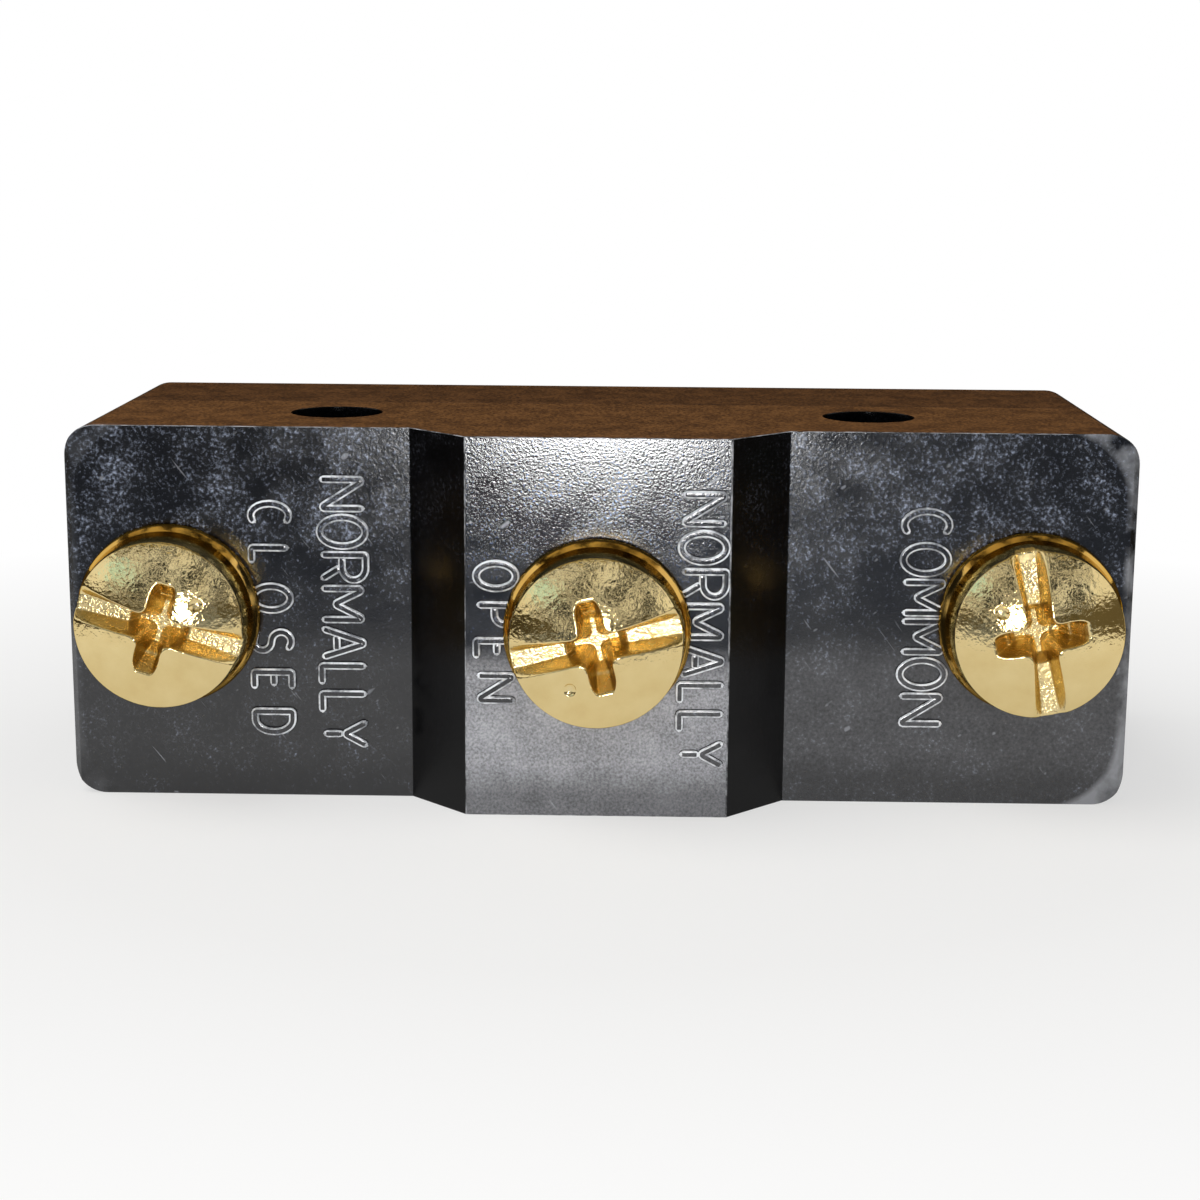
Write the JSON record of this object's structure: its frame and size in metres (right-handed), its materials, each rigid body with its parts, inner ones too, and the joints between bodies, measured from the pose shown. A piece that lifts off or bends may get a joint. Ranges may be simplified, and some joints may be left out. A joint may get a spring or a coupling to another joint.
{
  "type": "snap-action switch",
  "caption": "Basic snap-action switch with a pin plunger: a flat oblong moulded case with stepped screw terminals on one long side and mounting holes through its sides.",
  "frame": {"origin": "midway between the two mounting holes, on the side face that the switch lies on", "axes": "+X along the case towards the common terminal, -Y out of the terminal faces, +Y out of the plunger end, +Z along the mounting holes"},
  "size_m": [0.0492, 0.0286, 0.0174],
  "materials": {
    "phenolic_case": "moulded black phenolic, semi-gloss terminal faces and brown-black sides",
    "phenolic_cover": "moulded black phenolic",
    "brass_screws": "bright brass, polished by rolling",
    "brass_washers": "bright pressed brass",
    "brass_terminals": "turned and stamped brass",
    "rivets": "dull brass",
    "plunger_pin": "ground stainless steel",
    "spring_blade": "rolled copper alloy spring sheet",
    "silver_contacts": "fine silver"
  },
  "bodies": {
    "housing": {"case": "phenolic_case", "cover": "phenolic_cover", "cover_rivets": "rivets", "closed_bracket": "brass_terminals", "closed_contact": "silver_contacts", "open_bracket": "brass_terminals", "open_contact": "silver_contacts", "common_bracket": "brass_terminals", "closed_insert": "brass_terminals", "open_insert": "brass_terminals", "common_insert": "brass_terminals"},
    "plunger": {"plunger": "plunger_pin"},
    "blade": {"snap_blade": "spring_blade", "moving_contact": "silver_contacts"},
    "closed_washer": {"closed_washer": "brass_washers"},
    "open_washer": {"open_washer": "brass_washers"},
    "common_washer": {"common_washer": "brass_washers"},
    "closed_screw": {"closed_screw": "brass_screws"},
    "open_screw": {"open_screw": "brass_screws"},
    "common_screw": {"common_screw": "brass_screws"}
  },
  "joints": [
    {"name": "plunger_press", "type": "slide", "parent": "housing", "child": "plunger", "axis": [0, -1, 0], "range_m": [0, 0.0005], "stiffness_N_per_m": 6000},
    {"name": "blade_swing", "type": "hinge", "parent": "housing", "child": "blade", "pos_m": [0.0144, 0.00695, 0.00873], "axis": [0, 0, 1], "range_deg": [0, 1.6]},
    {"name": "closed_washer_lift", "type": "slide", "parent": "housing", "child": "closed_washer", "axis": [0, -1, 0], "range_m": [0, 0.0028]},
    {"name": "closed_screw_turn", "type": "hinge", "parent": "closed_washer", "child": "closed_screw", "pos_m": [-0.01985, -0.0055, 0.00873], "axis": [0, -1, 0], "range_deg": [0, 1440]},
    {"name": "open_washer_lift", "type": "slide", "parent": "housing", "child": "open_washer", "axis": [0, -1, 0], "range_m": [0, 0.0028]},
    {"name": "open_screw_turn", "type": "hinge", "parent": "open_washer", "child": "open_screw", "pos_m": [0, -0.0083, 0.00873], "axis": [0, -1, 0], "range_deg": [0, 1440]},
    {"name": "common_washer_lift", "type": "slide", "parent": "housing", "child": "common_washer", "axis": [0, -1, 0], "range_m": [0, 0.0028]},
    {"name": "common_screw_turn", "type": "hinge", "parent": "common_washer", "child": "common_screw", "pos_m": [0.01985, -0.0055, 0.00873], "axis": [0, -1, 0], "range_deg": [0, 1440]}
  ],
  "couplings": [
    {"joint": "blade_swing", "follows": "plunger_press", "rad_per_m": 55.556},
    {"joint": "closed_screw_turn", "follows": "closed_washer_lift", "rad_per_m": 8976},
    {"joint": "open_screw_turn", "follows": "open_washer_lift", "rad_per_m": 8976},
    {"joint": "common_screw_turn", "follows": "common_washer_lift", "rad_per_m": 8976}
  ]
}
